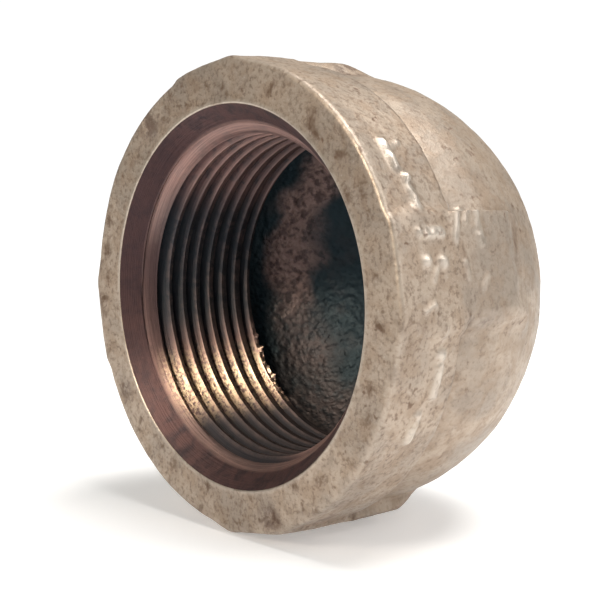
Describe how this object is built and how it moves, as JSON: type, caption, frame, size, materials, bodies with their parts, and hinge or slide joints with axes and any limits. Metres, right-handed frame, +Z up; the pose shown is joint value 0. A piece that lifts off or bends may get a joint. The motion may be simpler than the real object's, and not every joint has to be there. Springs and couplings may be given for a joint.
{
  "type": "pipe cap",
  "caption": "Threaded pipe cap with a reinforcing band, wrench lugs and a domed closed end, zinc coated outside.",
  "frame": {"origin": "centre of the flat mouth face, on the cap's own axis", "axes": "+Y along the cap's axis from the mouth to the domed end, +Z up, +X to the right; the cap lies on its side"},
  "size_m": [0.0558, 0.038, 0.0558],
  "materials": {
    "cast_iron": "bare malleable iron, drilled, countersunk and tapped",
    "zinc": "dull hot-dip zinc, mottled, with rust specks",
    "chamber_zinc": "dark rough zinc skin on the cored surface"
  },
  "bodies": {
    "root": {"cap_casting": "cast_iron", "zinc_coat_outside": "zinc", "zinc_coat_chamber": "chamber_zinc"}
  },
  "joints": []
}
